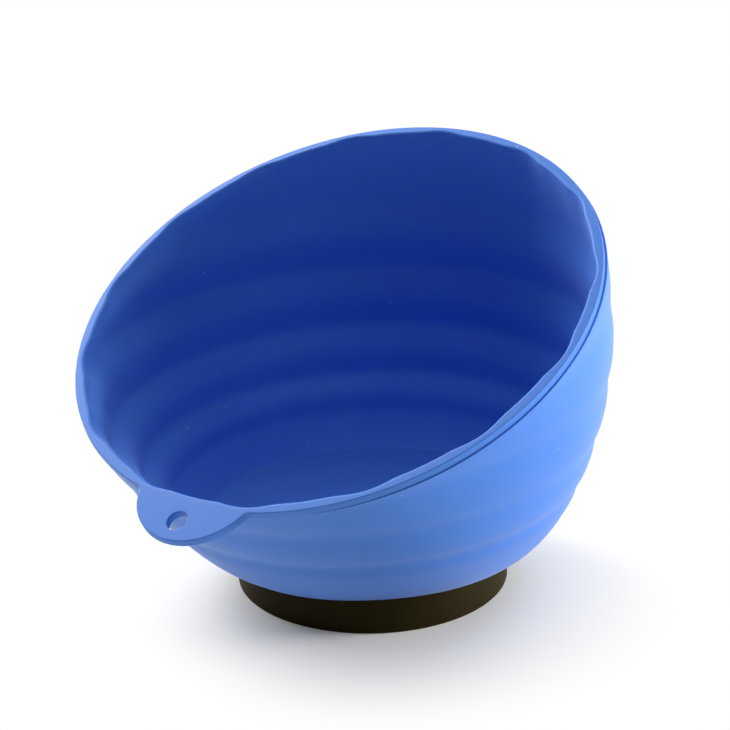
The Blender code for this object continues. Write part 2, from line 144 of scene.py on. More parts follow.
SCALLOP_COLUMNS = 20
BETWEEN_COLUMNS = 6
TAB_COLUMNS = 28
ROOT_COLUMNS = 8
HOLE_COLUMNS = 7
ROWS_UNDER_FLOOR = 5
ROWS_UNDER_FLOOR_START = 0.03  # of the u at the floor
ROWS_OVER_FLOOR = 6
ROWS_A_RING = 10
ROWS_TO_MOUTH = 40
RINGS_START = -0.5  # phase at which the lowest ring begins
ROWS_SHORT_OF_LEDGE = 0.1  # least phase between the low rows and the ledge
FOOT_STEPS = 4
LEDGE_STEPS = 3
LIP_LOW_STEPS = 4
LIP_TOP_STEPS = 5
LIP_INNER_STEPS = 6
FLOOR_STEPS = 5
HOLE_STEPS = 4
BOOT_LOW_STEPS = 8
BOOT_SHOULDER_STEPS = 5
BOOT_COLUMNS = 192
BOOT_UNDERSIDE_RADII = (0.012, 0.034)
BOOT_UNDERSIDE_MARGIN = 0.0003
SOLVER_STEPS = 40
SLOPE_STEP = 0.00001
LARGEST_SHARE = 0.45  # of a straight way, that a rounding may take
TINY = 1e-9

# Shares of a face's width at which its rows lie, in even steps round the hanging hole

UNDERSIDE_SHARES = (0.03, *np.linspace(0.075, 0.865, 2 * HOLE_COLUMNS + 1), 0.96)
LAND_SHARES = (0.03, *np.linspace(0.106, 0.736, 2 * HOLE_COLUMNS + 1), 0.9)
LIP_SIDE_SHARES = (0.15, 0.85)
FLOOR_SHARES = (0.02, 0.2, 0.5, 0.8)
TO_HOLE_SHARES = (0.4, 0.8)
FROM_HOLE_SHARES = (0.2, 0.6)


# Settings

class BowlSettings(bpy.types.PropertyGroup):
    """Shape details and colour of the plastic moulding."""

    ring_depth: FloatProperty(
        name="Ring depth", description="How far each moulded ring stands out inside the bowl",
        default=0.0017, min=0.0, max=0.002, subtype='DISTANCE', unit='LENGTH')
    outer_ring_depth: FloatProperty(
        name="Outer ring depth", description="How far each moulded ring is drawn in on the outside",
        default=0.0006, min=0.0, max=0.002, subtype='DISTANCE', unit='LENGTH')
    outer_ring_sharpness: FloatProperty(
        name="Outer ring sharpness",
        description="Power of the outer rings' wave, higher for narrower rings",
        default=2.0, min=0.5, max=4.0)
    ring_sharpness: FloatProperty(
        name="Ring sharpness",
        description="Power of the inner rings' wave, higher for narrower rings",
        default=0.7, min=0.5, max=4.0)
    scallop_depth: FloatProperty(
        name="Scallop depth", description="How far each scallop cuts into the lip",
        default=0.00097, min=0.0, max=0.002, subtype='DISTANCE', unit='LENGTH')
    edge_radius: FloatProperty(
        name="Lip edge radius", description="Rounding of the lip's and the tab's upper edges",
        default=0.0003, min=0.0001, max=0.001, subtype='DISTANCE', unit='LENGTH')
    inner_radius: FloatProperty(
        name="Inner edge radius",
        description="Rounding of the lip's inner edge, round the scallops",
        default=0.0008, min=0.0001, max=0.001, subtype='DISTANCE', unit='LENGTH')
    colour: FloatVectorProperty(
        name="Plastic colour", description="Colour of the moulded plastic",
        default=(0.074, 0.212, 0.67), size=3, min=0.0, max=1.0, subtype='COLOR')
    roughness: FloatProperty(
        name="Plastic roughness", description="Roughness of the moulded plastic's skin",
        default=0.42, min=0.05, max=1.0, subtype='FACTOR')


class FootSettings(bpy.types.PropertyGroup):
    """Shape details and colours of the foot and what it holds."""

    edge_radius: FloatProperty(
        name="Boot edge radius", description="Rounding of the rubber boot's lower edge",
        default=0.0004, min=0.0002, max=0.0015, subtype='DISTANCE', unit='LENGTH')
    rubber_colour: FloatVectorProperty(
        name="Rubber colour", description="Colour of the rubber boot",
        default=(0.0180, 0.0132, 0.0016), size=3, min=0.0, max=1.0, subtype='COLOR')
    ferrite_colour: FloatVectorProperty(
        name="Ferrite colour", description="Colour of the ring magnet",
        default=(0.035, 0.036, 0.039), size=3, min=0.0, max=1.0, subtype='COLOR')
    steel_colour: FloatVectorProperty(
        name="Steel colour", description="Colour of the plate",
        default=(0.45, 0.45, 0.44), size=3, min=0.0, max=1.0, subtype='COLOR')
    zinc_colour: FloatVectorProperty(
        name="Zinc colour", description="Colour of the washer's and the screw's plating",
        default=(0.60, 0.61, 0.60), size=3, min=0.0, max=1.0, subtype='COLOR')


class StageSettings(bpy.types.PropertyGroup):
    """Floor, lights and background."""

    floor_colour: FloatVectorProperty(
        name="Floor colour", description="Colour of the floor",
        default=(0.82, 0.795, 0.73), size=3, min=0.0, max=1.0, subtype='COLOR')
    white_from: FloatProperty(
        name="White from",
        description="Distance from the foot's middle at which the floor starts to fade to white",
        default=0.040, min=0.0, max=1.0, subtype='DISTANCE', unit='LENGTH')
    white_by: FloatProperty(
        name="White by",
        description="Distance from the foot's middle at which the floor is plain white",
        default=0.095, min=0.01, max=1.0, subtype='DISTANCE', unit='LENGTH')
    floor_lift: FloatProperty(
        name="Floor lift",
        description="Strength of the warm white that is added to the floor as the camera sees it",
        default=0.12, min=0.0, max=1.0, subtype='FACTOR')
    sky_strength: FloatProperty(
        name="Sky strength", description="Strength of the even light from all round",
        default=0.02, min=0.0, max=2.0)
    lamp_power: FloatProperty(
        name="Lamp power", description="Share of their full power that all lamps give",
        default=1.0, min=0.0, max=3.0, subtype='FACTOR')


# Shape of the wall

def bezier(points, u):
    """Cubic curve in the mirror plane as (forward, up).

    It is s (1-u)^3 + 3 f u (1-u)^2 + 3 l u^2 (1-u) + e u^3, with s, f, l and e its four points.
    """
    u = np.asarray(u)[..., None]
    start, first, last, end = (np.array(point) for point in points)
    return (start * (1 - u) ** 3 + 3 * first * u * (1 - u) ** 2 + 3 * last * u ** 2 * (1 - u)
            + end * u ** 3)


def outline(side, foot_pull, foot_angle, mouth_pull):
    """Control points of the front (side 1) or back (side -1) outline, from foot to mouth."""
    foot = (side * BOWL_FOOT_RADIUS, BOWL_BOTTOM)
    mouth = (MOUTH_FORWARD + side * MOUTH_RADIUS * cos(MOUTH_TILT),
             MOUTH_HEIGHT - side * MOUTH_RADIUS * sin(MOUTH_TILT))
    first = (foot[0] + foot_pull * cos(foot_angle), foot[1] + foot_pull * sin(foot_angle))
    last = (mouth[0] + mouth_pull * cos(MOUTH_PULL_ANGLE),
            mouth[1] + mouth_pull * sin(MOUTH_PULL_ANGLE))
    return foot, first, last, mouth


FRONT_OUTLINE = outline(1, FRONT_FOOT_PULL, FRONT_FOOT_ANGLE, FRONT_MOUTH_PULL)
BACK_OUTLINE = outline(-1, BACK_FOOT_PULL, BACK_FOOT_ANGLE, BACK_MOUTH_PULL)


def skin(u, azimuth):
    """Outer skin without rings: the circle whose diameter joins the two outlines at u.

    x = r sin(a), forward = middle + half cos(a) and up = middle + half cos(a), each with its own
    middle and half distance of the outlines, r that half's length, and a the azimuth from the tab.
    """
    front = bezier(FRONT_OUTLINE, u)
    back = bezier(BACK_OUTLINE, u)
    middle = (front + back) / 2
    half = (front - back) / 2
    radius = np.hypot(half[..., 0], half[..., 1])
    forward = middle[..., 0] + half[..., 0] * np.cos(azimuth)
    up = middle[..., 1] + half[..., 1] * np.cos(azimuth)
    return np.stack([radius * np.sin(azimuth), -forward, up], axis=-1)


def skin_normal(u, azimuth):
    """Outward unit normal: the cross product of the steps along the azimuth and along u."""
    across = skin(u, azimuth + SLOPE_STEP) - skin(u, azimuth - SLOPE_STEP)
    along = skin(u + SLOPE_STEP, azimuth) - skin(u - SLOPE_STEP, azimuth)
    normal = np.cross(across, along)
    return normal / np.linalg.norm(normal, axis=-1, keepdims=True)


def mouth_depth(points):
    """Distance under the plane of the mouth: -forward sin(tilt) - up cos(tilt)."""
    forward = -points[..., 1] - MOUTH_FORWARD
    up = points[..., 2] - MOUTH_HEIGHT
    return -forward * sin(MOUTH_TILT) - up * cos(MOUTH_TILT)


def ring_level(u, azimuth):
    """Height of the inner skin above the floor, scaled by F / (F + y) so that the rings fan out."""
    inner = skin(u, azimuth) - WALL * skin_normal(u, azimuth)
    return (inner[..., 2] - FLOOR_TOP) * RING_FAN_RADIUS / (RING_FAN_RADIUS + inner[..., 1])


def ring_phase(u, azimuth):
    """Whole numbers at the rings' crests.

    It is the root p of g p^2 + (s - g) p = level - first, with s the step and g half its growth.
    """
    above = ring_level(u, azimuth) - RING_FIRST
    half_growth = RING_STEP_GROWTH / 2
    linear = RING_STEP - half_growth
    root = np.sqrt(np.maximum(linear ** 2 + 4 * half_growth * above, 0))
    return (root - linear) / (2 * half_growth)


def ring_wave(u, azimuth, sharpness):
    """(1/2 + 1/2 cos 2 pi phase)^sharpness times f (2 - f), 1 on a ring's crest.

    f is the share of the rings' fade, 0 at the lip and 1 further down.
    """
    phase = ring_phase(u, azimuth)
    wave = (0.5 + 0.5 * np.cos(2 * pi * phase)) ** sharpness
    inside = (phase > RINGS_START) & (phase < RING_COUNT + RINGS_START)
    fade = np.clip((mouth_depth(skin(u, azimuth)) - LIP_HEIGHT) / RING_MOUTH_FADE, 0, 1)
    return np.where(inside, wave * fade * (2 - fade), 0)


def ledge_width(azimuth):
    """Width of the ledge under the lip: 1/2 - 1/2 cos of the share of the way to full width."""
    turn = np.abs((azimuth + pi) % (2 * pi) - pi)
    return LEDGE * (0.5 - 0.5 * np.cos(pi * np.minimum(turn / LEDGE_AZIMUTH, 1)))


def outer_wall(u, azimuth, look):
    """Outer skin, drawn in at the rings and pushed out by the ledge's width under the lip.

    The push fades with the square of what is left of the way down.
    """
    points = skin(u, azimuth)
    fade = np.clip(1 - (mouth_depth(points) - LIP_HEIGHT) / LEDGE_FADE, 0, 1)
    groove = look.outer_ring_depth * ring_wave(u, azimuth, look.outer_ring_sharpness)
    push = ledge_width(azimuth) * fade ** 2 - groove - SKIN_INSET
    return points + skin_normal(u, azimuth) * push[..., None]


def scallop(azimuth):
    """1 in the middle of a scallop, falling as a power of the cosine to 0 at its sides."""
    offset = (np.asarray(azimuth) % SCALLOP_PITCH) - SCALLOP_PITCH / 2
    share = np.clip(np.abs(offset) / SCALLOP_HALF_ANGLE, 0, 1)
    return np.maximum(np.cos(pi / 2 * share), 0) ** SCALLOP_SHARPNESS


def inner_wall(u, azimuth, look):
    """Inner skin: the skin moved in by the wall and the rings, less the scallops that run down it.

    A scallop fades with the square of what is left of the way down.
    """
    points = skin(u, azimuth)
    fade = np.clip(1 - mouth_depth(points) / SCALLOP_REACH, 0, 1) ** 2
    inset = WALL + look.ring_depth * ring_wave(u, azimuth, look.ring_sharpness)
    inset = inset - look.scallop_depth * scallop(azimuth) * fade
    return points - skin_normal(u, azimuth) * inset[..., None]


def solve(measure, target, azimuth):
    """The u on each column where a measure that grows with u reaches its target, by halving."""
    low = np.zeros(np.broadcast(target, azimuth).shape)
    high = np.ones_like(low)
    for _ in range(SOLVER_STEPS):
        middle = (low + high) / 2
        below = measure(middle, azimuth) < target
        low = np.where(below, middle, low)
        high = np.where(below, high, middle)
    return (low + high) / 2


# Lip and tab in the plane of the mouth

def tab_root():
    """The small fillet that joins the tab's disc to the lip: its azimuth, its centre and its touch.

    The azimuth is an angle of the triangle of the mouth's, the disc's and the fillet's centres. The
    touch is where the fillet meets the disc.
    """
    far = MOUTH_RADIUS + TAB_ROOT_RADIUS
    reach = TAB_RADIUS + TAB_ROOT_RADIUS
    spread = acos((far ** 2 + TAB_CENTRE ** 2 - reach ** 2) / (2 * far * TAB_CENTRE))
    centre = np.array([far * sin(spread), far * cos(spread)])
    touch = np.array([0, TAB_CENTRE]) + (centre - [0, TAB_CENTRE]) * TAB_RADIUS / reach
    return spread, centre, touch


def tab_azimuths():
    """Azimuths of the columns over the tab: even steps round its disc, then round the fillet."""
    spread, centre, touch = tab_root()
    disc_end = atan2(touch[0], touch[1] - TAB_CENTRE)
    turn = np.linspace(0, disc_end, TAB_COLUMNS + 1)
    disc = np.stack([TAB_RADIUS * np.sin(turn), TAB_CENTRE + TAB_RADIUS * np.cos(turn)], axis=-1)
    start = atan2(touch[0] - centre[0], touch[1] - centre[1])
    end = atan2(-centre[0], -centre[1])
    if end > start:
        end -= 2 * pi
    turn = np.linspace(start, end, ROOT_COLUMNS + 1)[1:]
    root = centre + TAB_ROOT_RADIUS * np.stack([np.sin(turn), np.cos(turn)], axis=-1)
    points = np.concatenate([disc, root])
    half = np.arctan2(points[:, 0], points[:, 1])
    return np.concatenate([-half[:0:-1], half])


def columns():
    """Azimuths of all columns in rising order from minus pi, dense over scallops and tab."""
    across = np.linspace(-SCALLOP_HALF_ANGLE, SCALLOP_HALF_ANGLE, SCALLOP_COLUMNS + 1)
    between_two = np.linspace(SCALLOP_HALF_ANGLE, SCALLOP_PITCH - SCALLOP_HALF_ANGLE,
                              BETWEEN_COLUMNS + 1)[1:-1]
    middles = SCALLOP_PITCH * (np.arange(SCALLOP_COUNT) + 0.5) - pi - SCALLOP_PITCH / 2
    around = (middles[:, None] + np.concatenate([across, between_two])[None, :]).ravel()
    around = (around + pi) % (2 * pi) - pi
    tab = tab_azimuths()
    spacing = SCALLOP_PITCH / (SCALLOP_COLUMNS + BETWEEN_COLUMNS)
    around = around[np.abs(around) > tab.max() + spacing / 2]
    return np.sort(np.concatenate([around, tab]))


def lip_outline(azimuth):
    """Outline of lip and tab in the mouth's plane: points (across, forward) and outward normals.

    Over the disc the distance is c cos(a) + sqrt(r^2 - c^2 sin^2(a)), over the fillet it is the
    nearer root for the fillet's circle, and elsewhere the mouth's radius.
    """
    spread, centre, touch = tab_root()
    turn = np.abs(azimuth)
    side = np.where(azimuth < 0, -1, 1)
    touch_turn = atan2(touch[0], touch[1])
    aside = TAB_CENTRE * np.sin(turn)
    disc = TAB_CENTRE * np.cos(turn) + np.sqrt(np.maximum(TAB_RADIUS ** 2 - aside ** 2, 0))
    along = np.hypot(*centre) * np.cos(turn - spread)
    off = np.hypot(*centre) * np.sin(turn - spread)
    root = along - np.sqrt(np.maximum(TAB_ROOT_RADIUS ** 2 - off ** 2, 0))
    over_disc = turn < touch_turn
    over_root = (turn >= touch_turn) & (turn < spread)
    reach = np.where(over_disc, disc, np.where(over_root, root, MOUTH_RADIUS))
    points = np.stack([reach * np.sin(turn), reach * np.cos(turn)], axis=-1)
    normals = points / MOUTH_RADIUS
    normals = np.where(over_disc[:, None], (points - [0, TAB_CENTRE]) / TAB_RADIUS, normals)
    normals = np.where(over_root[:, None], (centre - points) / TAB_ROOT_RADIUS, normals)
    flip = np.stack([side, np.ones_like(side)], axis=-1)
    return points * flip, normals * flip


def from_mouth(flat, depth):
    """Points from (across, forward) in the mouth's plane and a depth under it."""
    forward = flat[..., 1]
    depth = np.broadcast_to(depth, forward.shape)
    y = -MOUTH_FORWARD - forward * cos(MOUTH_TILT) + depth * sin(MOUTH_TILT)
    z = MOUTH_HEIGHT - forward * sin(MOUTH_TILT) - depth * cos(MOUTH_TILT)
    return np.stack([flat[..., 0], y, z], axis=-1)


def level_circle(radius, height, azimuth):
    """Circle about the foot's axis at a height."""
    up = np.full_like(azimuth, height)
    return np.stack([radius * np.sin(azimuth), -radius * np.cos(azimuth), up], axis=-1)


def between(start, end, shares):
    """Rows at the given shares of the straight way from start to end."""
    return [start + (end - start) * share for share in shares]


def rounded(before, corner, after, steps):
    """Rows round a corner: the curve (1-t)^2 b + 2t(1-t) c + t^2 a."""
    return [before * (1 - t) ** 2 + corner * 2 * t * (1 - t) + after * t ** 2
            for t in np.linspace(0, 1, steps + 1)]


def towards(start, end, distance):
    """Point a distance along the way from start to end, at most the largest share of it."""
    way = end - start
    length = np.maximum(np.linalg.norm(way, axis=-1, keepdims=True), TINY)
    return start + way * np.minimum(distance / length, LARGEST_SHARE)


def low_levels(azimuth, ledge):
    """The u of the rows from the floor to just under the ledge's lowest point, and the last phase.

    Even steps of u lead from the floor to where the rings begin, and even steps of the phase go on.
    """
    span = ring_phase(ledge, azimuth).min() - ROWS_SHORT_OF_LEDGE - RINGS_START
    phases = RINGS_START + np.arange(int(span * ROWS_A_RING) + 1) / ROWS_A_RING
    rows = solve(ring_phase, phases[:, None], azimuth)
    floor = solve(ring_level, 0, azimuth)
    shares = (np.arange(ROWS_OVER_FLOOR) / ROWS_OVER_FLOOR)[:, None]
    return np.concatenate([floor + (rows[0] - floor) * shares, rows]), phases[-1]


def high_levels(azimuth, low_phase, top):
    """The u of the rows by even steps of the phase from the low rows' last up to the top's u."""
    share = (np.arange(1, ROWS_TO_MOUTH) / ROWS_TO_MOUTH)[:, None]
    return solve(ring_phase, low_phase + (ring_phase(top, azimuth) - low_phase) * share, azimuth)


def foot_rings(azimuth):
    """Rings of the underside, from the screw's bore over the boss and the socket to the foot."""
    corners = ((SCREW_HOLE_RADIUS, BORE_TOP), (SCREW_HOLE_RADIUS, BOSS_END),
               (BOSS_RADIUS, BOSS_END), (BOSS_RADIUS, SOCKET_CEILING),
               (SOCKET_RADIUS, SOCKET_CEILING), (SOCKET_RADIUS, BOWL_BOTTOM))
    return [level_circle(radius, height, azimuth) for radius, height in corners]


def bowl_rows(azimuth, look):
    """All rings of the moulding, from the bore round the outside and the lip to the floor's middle.

    Returns the rings and two indices: the first ring round the hanging hole under the tab, and the
    first one on top of it.
    """
    ledge = solve(lambda u, a: -mouth_depth(skin(u, a)), -LIP_HEIGHT, azimuth)
    low_rows, low_phase = low_levels(azimuth, ledge)
    floor = low_rows[0]

    rings = foot_rings(azimuth)
    foot_edge = level_circle(BOWL_FOOT_RADIUS, BOWL_BOTTOM, azimuth)
    foot_end = outer_wall(np.full_like(azimuth, FOOT_ROUND_END), azimuth, look)
    rings += rounded(towards(foot_edge, rings[-1], FOOT_ROUND), foot_edge, foot_end, FOOT_STEPS)
    # From 37 degrees off the tab round the back, the first of these rows lies up to 0.6 mm short of
    # the end of the foot's rounding, so that a narrow strip of the underside folds over itself
    under_floor = np.linspace(ROWS_UNDER_FLOOR_START, 1, ROWS_UNDER_FLOOR + 1)[:-1, None] * floor
    levels = np.concatenate([under_floor, low_rows, high_levels(azimuth, low_phase, ledge)])
    rings += [outer_wall(row, azimuth, look) for row in levels]

    lip_points, lip_normals = lip_outline(azimuth)
    is_tab = np.clip((np.hypot(*lip_points.T) - MOUTH_RADIUS) / TAB_SIZES_FADE, 0, 1)
    lip_depth = LIP_HEIGHT + (TAB_THICKNESS - LIP_HEIGHT) * is_tab
    low_round = (LIP_LOW_ROUND + (TAB_LOW_ROUND - LIP_LOW_ROUND) * is_tab)[:, None]
    wall_top = outer_wall(ledge, azimuth, look)
    lip_bottom = from_mouth(lip_points, lip_depth)
    lip_top = from_mouth(lip_points, 0)
    wall_end = towards(wall_top, rings[-1], LEDGE_OUTER_ROUND)
    under_start = towards(wall_top, lip_bottom, LEDGE_INNER_ROUND)
    rings += rounded(wall_end, wall_top, under_start, LEDGE_STEPS)
    wide = np.linalg.norm(lip_bottom - under_start, axis=-1, keepdims=True) > WIDE_UNDERSIDE
    under_end = np.where(wide, from_mouth(lip_points - lip_normals * low_round, lip_depth),
                         towards(lip_bottom, under_start, low_round))
    under_first = len(rings) + 1
    rings += between(under_start, under_end, UNDERSIDE_SHARES)
    side_start = towards(lip_bottom, lip_top, low_round)
    rings += rounded(under_end, lip_bottom, side_start, LIP_LOW_STEPS)
    side_end = from_mouth(lip_points, look.edge_radius)
    rings += between(side_start, side_end, LIP_SIDE_SHARES)
    land_start = from_mouth(lip_points - lip_normals * look.edge_radius, 0)
    rings += rounded(side_end, lip_top, land_start, LIP_TOP_STEPS)

    land_radius = MOUTH_RADIUS - WALL + look.scallop_depth * scallop(azimuth)
    land_points = np.stack([land_radius * np.sin(azimuth), land_radius * np.cos(azimuth)], axis=-1)
    land_edge = from_mouth(land_points, 0)
    land_end = towards(land_edge, land_start, look.inner_radius)
    top_first = len(rings) + 1
    rings += between(land_start, land_end, LAND_SHARES)

    inner_top = solve(lambda u, a: -mouth_depth(inner_wall(u, a, look)), -INNER_WALL_TOP, azimuth)
    wall_start = inner_wall(inner_top, azimuth, look)
    inner_start = towards(land_edge, wall_start, look.inner_radius)
    rings += rounded(land_end, land_edge, inner_start, LIP_INNER_STEPS)
    rings.append(wall_start)
    high_rows = high_levels(azimuth, low_phase, inner_top)
    # The rounding at the floor stands for the two lowest rows
    levels = np.concatenate([high_rows[::-1], low_rows[:1:-1]])
    rings += [inner_wall(row, azimuth, look) for row in levels]
    floor_edge = inner_wall(floor, azimuth, look)
    centre = np.array([0, 0, FLOOR_TOP])
    wall_end = towards(floor_edge, rings[-1], FLOOR_ROUND)
    floor_start = towards(floor_edge, centre, FLOOR_ROUND)
    rings += rounded(wall_end, floor_edge, floor_start, FLOOR_STEPS)
    rings += between(floor_start, centre, FLOOR_SHARES)
    return rings, under_first, top_first


def grid_faces(rows, count):
    """Quads between neighbouring rings of a grid whose rings are closed, by ring and column."""
    row, column = np.meshgrid(np.arange(rows - 1), np.arange(count), indexing="ij")
    following = (column + 1) % count
    corners = [row * count + column, row * count + following, (row + 1) * count + following,
               (row + 1) * count + column]
    return np.stack(corners, axis=-1)


def fan(start, count, pole, faces_up):
    """Triangles from a ring of the grid, whose first point is start, to a pole."""
    near = start + np.arange(count)
    far = np.roll(near, -1)
    middle = np.full(count, pole)
    return np.stack([near, far, middle] if faces_up else [middle, far, near], axis=-1)


def block_loop(first_row, first_column, size, count, inwards):
    """Vertex indices round a square block of the grid, from its low corner nearest the bowl."""
    step = np.arange(size)
    rows = np.concatenate([np.zeros(size, int), step, np.full(size, size), size - step])
    cols = np.concatenate([step, np.full(size, size), size - step, np.zeros(size, int)])
    if inwards:
        rows = size - rows
    return (first_row + rows) * count + first_column + cols


def hole_rings(under, top):
    """Rings from the border under the tab to the hole's circle, up through the tab and out again.

    The circle is c + r (sin t, cos t) in the mouth's plane, with t falling evenly from the border's
    corner.
    """
    turn = -3 * pi / 4 - np.arange(len(under)) * 2 * pi / len(under)
    way = np.stack([np.sin(turn), np.cos(turn)], axis=-1)
    centre = np.array([0, HOLE_CENTRE])
    low, high = TAB_THICKNESS, 0
    low_rim, high_rim = (from_mouth(centre + way * (HOLE_RADIUS + HOLE_ROUND), depth)
                         for depth in (low, high))
    low_edge, low_wall, high_wall, high_edge = (
        from_mouth(centre + way * HOLE_RADIUS, depth)
        for depth in (low, low - HOLE_ROUND, high + HOLE_ROUND, high))
    rings = between(under, low_rim, TO_HOLE_SHARES)
    rings += rounded(low_rim, low_edge, low_wall, HOLE_STEPS)
    rings += rounded(high_wall, high_edge, high_rim, HOLE_STEPS)
    rings += between(high_rim, top, FROM_HOLE_SHARES)
    return rings


def bowl_surface(look):
    """Points, quads and triangles of the moulding, with the hanging hole through its tab.

    On the tab's top and underside the hole takes a square block of the grid's quads away. Rings run
    from the block's border to the hole's circle and through the tab. Fans close both ends.
    """
    azimuth = columns()
    count = len(azimuth)
    rings, under_first, top_first = bowl_rows(azimuth, look)
    grid = np.stack(rings).reshape(-1, 3)
    quads = grid_faces(len(rings), count)
    size = 2 * HOLE_COLUMNS
    first_column = int(np.argmin(np.abs(azimuth))) - HOLE_COLUMNS
    keep = np.ones(quads.shape[:2], bool)
    for first_row in (under_first, top_first):
        keep[first_row:first_row + size, first_column:first_column + size] = False

    under = block_loop(under_first, first_column, size, count, False)
    top = block_loop(top_first, first_column, size, count, True)
    through = np.stack(hole_rings(grid[under], grid[top]))
    inner = len(grid) + np.arange(through.shape[0] * through.shape[1]).reshape(through.shape[:2])
    loops = np.concatenate([under[None], inner, top[None]])
    following = np.roll(loops, -1, axis=1)
    hole_quads = np.stack([loops[:-1], following[:-1], following[1:], loops[1:]], axis=-1)

    poles = np.array([[0, 0, BORE_TOP], [0, 0, FLOOR_TOP]])
    points = np.concatenate([grid, through.reshape(-1, 3), poles])
    fans = np.concatenate([fan(0, count, len(points) - 2, False),
                           fan((len(rings) - 1) * count, count, len(points) - 1, True)])
    return points, np.concatenate([quads[keep], hole_quads.reshape(-1, 4)]), fans


def turned_surface(profile, count):
    """Points, quads and triangles of a profile of (radius, height) turned round Z.

    A point is (r sin a, -r cos a, z). The profile's ends are on the axis, and it runs outwards
    underneath and back over the top.
    """
    azimuth = np.arange(count) * 2 * pi / count
    rows = [level_circle(radius, height, azimuth) for radius, height in profile[1:-1]]
    poles = np.array([[0, 0, profile[0][1]], [0, 0, profile[-1][1]]])
    points = np.concatenate([*rows, poles])
    quads = grid_faces(len(rows), count).reshape(-1, 4)
    fans = np.concatenate([fan(0, count, len(points) - 2, False),
                           fan((len(rows) - 1) * count, count, len(points) - 1, True)])
    return points, quads, fans


def corner_arc(centre, radius, start, end, steps):
    """Profile points on an arc, both ends included."""
    turn = np.linspace(start, end, steps + 1)
    return [(centre[0] + radius * cos(t), centre[1] + radius * sin(t)) for t in turn]


def boot_profile(edge_radius):
    """Outline of the boot's section: underside, side, shoulder, spigot, lip and hollow."""
    side = BOOT_RADIUS - edge_radius
    shoulder = BOOT_SHOULDER_ROUND
    lip_radius = BOOT_INNER_RADIUS - BOOT_LIP_REACH
    underside = [(radius, 0) for radius in (0, *BOOT_UNDERSIDE_RADII, side - BOOT_UNDERSIDE_MARGIN)]
    low = corner_arc((side, edge_radius), edge_radius, -pi / 2, 0, BOOT_LOW_STEPS)
    high = corner_arc((BOOT_RADIUS - shoulder, BOOT_HEIGHT - shoulder), shoulder, 0, pi / 2,
                      BOOT_SHOULDER_STEPS)
    inside = [(SPIGOT_RADIUS, BOOT_HEIGHT), (SPIGOT_RADIUS, SPIGOT_TOP), (lip_radius, SPIGOT_TOP),
              (lip_radius, BOSS_END), (BOOT_INNER_RADIUS, BOSS_END),
              (BOOT_INNER_RADIUS, BOOT_FLOOR), (0, BOOT_FLOOR)]
    return underside + low + high + inside


# Making objects

def new_mesh(name, points, quads, triangles):
    """Put arrays of points, quads and triangles into a mesh, smooth with sharp corners."""
    mesh = bpy.data.meshes.new(name)
    corners = np.concatenate([quads.ravel(), triangles.ravel()]).astype(np.int32)
    starts = np.concatenate([4 * np.arange(len(quads)),
                             4 * len(quads) + 3 * np.arange(len(triangles))])
    mesh.vertices.add(len(points))
    mesh.vertices.foreach_set("co", points.astype(np.float32).ravel())
    mesh.loops.add(len(corners))
    mesh.loops.foreach_set("vertex_index", corners)
    mesh.polygons.add(len(starts))
    mesh.polygons.foreach_set("loop_start", starts.astype(np.int32))
    mesh.update(calc_edges=True)
    mesh.validate()
    mesh.shade_smooth()
    mesh.set_sharp_from_angle(angle=SHARP_ANGLE)
    return mesh


def new_piece(name, mesh, material, node):
    """Link a mesh as a piece that rides on the body and stands for a node of the model."""
    old = bpy.data.objects.get(name)
    if old is not None:
        bpy.data.objects.remove(old)
    piece = bpy.data.objects.new(name, mesh)
    mesh.materials.append(material)
    bpy.context.scene.collection.objects.link(piece)
    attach(piece, "root")
    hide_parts(node)
    return piece


# Materials

NODE_SPACING = 180
DUST_COLOUR = (0.35, 0.50, 0.82)
ROLLING_STRETCH = (1, 14, 1)
PLATE_ROUGHNESS = 0.42
ZINC_ROUGHNESS = 0.32


class Nodes:
    """Short ways to add, set and join nodes in one tree."""

    def __init__(self, tree):
        self.tree = tree
        self.tree.nodes.clear()
        self.column = 0

    def add(self, kind, inputs=None, **values):
        """New node with its own values, and then values on its inputs by name."""
        node = self.tree.nodes.new(kind)
        self.column += 1
        node.location = (self.column * NODE_SPACING, 0)
        for key, value in values.items():
            setattr(node, key, value)
        for label, value in (inputs or {}).items():
            node.inputs[label].default_value = value
        return node

    def join(self, start, end):
        """Link an output to an input."""
        self.tree.links.new(start, end)

    def math(self, operation, first, second):
        """Output of a Math node on two values, each a number or an output."""
        node = self.add("ShaderNodeMath", operation=operation)
        for socket, value in zip(node.inputs, (first, second)):
            if isinstance(value, (int, float)):
                socket.default_value = value
            else:
                self.join(value, socket)
        return node.outputs[0]

    def mix_colours(self, share, first, second):
        """Output between two colours by a share, each a tuple or an output."""
        mix = self.add("ShaderNodeMix", data_type='RGBA')
        self.join(share, mix.inputs["Factor"])
        for socket, colour in zip(mix.inputs[6:8], (first, second)):
            if isinstance(colour, tuple):
                socket.default_value = (*colour, 1)
            else:
                self.join(colour, socket)
        return mix.outputs[2]

    def mix_shaders(self, share, first, second):
        """Output between two shaders by a share, where None is no light at all."""
        mix = self.add("ShaderNodeMixShader")
        for socket, value in zip(mix.inputs, (share, first, second)):
            if value is not None:
                self.join(value, socket)
        return mix.outputs[0]


def new_group(name, inputs, outputs):
    """Empty node group with a Position and named numbers going in, and numbers coming out."""
    group = bpy.data.node_groups.new(name, "ShaderNodeTree")
    new_socket = group.interface.new_socket
    new_socket(name="Position", in_out='INPUT', socket_type="NodeSocketVector")
    for label, value in inputs.items():
        new_socket(name=label, in_out='INPUT', socket_type="NodeSocketFloat").default_value = value
    for label in outputs:
        new_socket(name=label, in_out='OUTPUT', socket_type="NodeSocketFloat")
    nodes = Nodes(group)
    return group, nodes, nodes.add("NodeGroupInput").outputs, nodes.add("NodeGroupOutput").inputs


